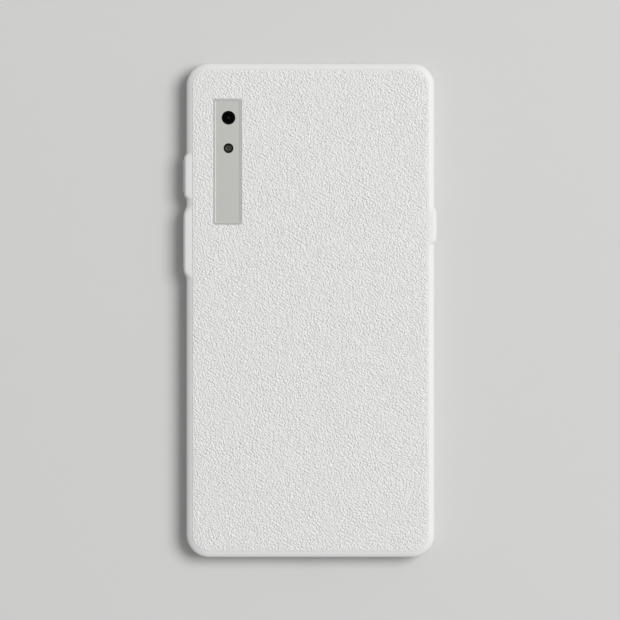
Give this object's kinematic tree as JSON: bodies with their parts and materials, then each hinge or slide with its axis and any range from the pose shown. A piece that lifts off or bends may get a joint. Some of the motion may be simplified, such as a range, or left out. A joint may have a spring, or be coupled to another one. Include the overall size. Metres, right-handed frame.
{
  "type": "e-reader",
  "caption": "Slim phone-sized e-reader, face down: white grained back with an inset grey camera plate, side keys, card drawer, charging socket and a lit e-paper display under glass.",
  "frame": {"origin": "centre of the front face of the cover glass, on which the reader lies", "axes": "+X to the right seen from the back, +Y towards the top edge, +Z out of the back"},
  "size_m": [0.0818, 0.159, 0.008],
  "materials": {
    "white_shell": "fine-grained soft white, smooth at the border",
    "white_key": "smooth soft white",
    "grey_plate": "satin grey, bare",
    "black_plastic": "black",
    "clear_glass": "clear",
    "flash_window": "smoked",
    "phosphor": "yellow phosphor",
    "adhesive": "black adhesive",
    "clear_film": "clear film",
    "light_guide": "clear acrylic",
    "epaper": "pale grey paper-like film",
    "foam": "black closed-cell foam",
    "flex": "amber polyimide",
    "board": "green solder mask",
    "chip": "black moulding",
    "steel": "stamped sheet",
    "thermal_pad": "grey-blue pad",
    "battery_foil": "black wrap",
    "tape": "white stretch tape",
    "drawer_plastic": "smooth soft white",
    "contact_plastic": "black moulding",
    "speaker_plastic": "black moulding",
    "mesh": "black acoustic mesh",
    "rubber": "black"
  },
  "bodies": {
    "body": {"antenna_flex": "flex", "battery": "battery_foil", "battery_board": "board", "battery_tail": "flex", "battery_tape": "tape", "camera_module": "black_plastic", "camera_plate": "grey_plate", "camera_ring": "black_plastic", "camera_window": "clear_glass", "card_contacts": "contact_plastic", "card_socket": "steel", "cover_lens": "clear_glass", "display_flex": "flex", "eject_lever": "steel", "eject_rod": "steel", "epaper_panel": "epaper", "flash_led": "phosphor", "flash_lens": "flash_window", "front_housing": "white_shell", "function_key_bracket": "steel", "function_key_flex": "flex", "function_switch": "steel", "lens_adhesive": "adhesive", "light_guide": "light_guide", "light_strip": "flex", "link_ribbon": "flex", "main_board": "board", "main_board_screw_1": "steel", "main_board_screw_2": "steel", "main_board_screw_3": "steel", "main_board_screw_4": "steel", "memory_chip": "chip", "mic_boot": "rubber", "microphone": "steel", "panel_cushion": "foam", "power_chip": "chip", "power_shield": "steel", "power_switch": "steel", "processor": "chip", "processor_shield": "steel", "rear_cover": "white_shell", "side_key_bracket": "steel", "side_key_flex": "flex", "speaker_mesh": "mesh", "speaker_module": "speaker_plastic", "sub_board": "board", "sub_board_screw_1": "steel", "sub_board_screw_2": "steel", "thermal_pad": "thermal_pad", "touch_sensor": "clear_film", "usb_shell": "steel", "usb_tongue": "contact_plastic", "volume_down_switch": "steel", "volume_up_switch": "steel"},
    "power_key": {"power_key": "white_key"},
    "volume_key": {"volume_key": "white_key"},
    "function_key": {"function_key": "white_key"},
    "card_tray": {"card_tray": "drawer_plastic"}
  },
  "joints": [
    {"name": "power_key_press", "type": "slide", "parent": "body", "child": "power_key", "axis": [1, 0, 0], "range_m": [0, 0.00025], "stiffness_N_per_m": 1500},
    {"name": "volume_key_rock", "type": "hinge", "parent": "body", "child": "volume_key", "pos_m": [-0.03815, 0.0218, 0.0043], "axis": [0, 0, 1], "range_deg": [-1.6, 1.6], "stiffness_Nm_per_rad": 0.3},
    {"name": "function_key_press", "type": "slide", "parent": "body", "child": "function_key", "axis": [-1, 0, 0], "range_m": [0, 0.00025], "stiffness_N_per_m": 1500},
    {"name": "card_tray_slide", "type": "slide", "parent": "body", "child": "card_tray", "axis": [1, 0, 0], "range_m": [0, 0.0215]}
  ]
}
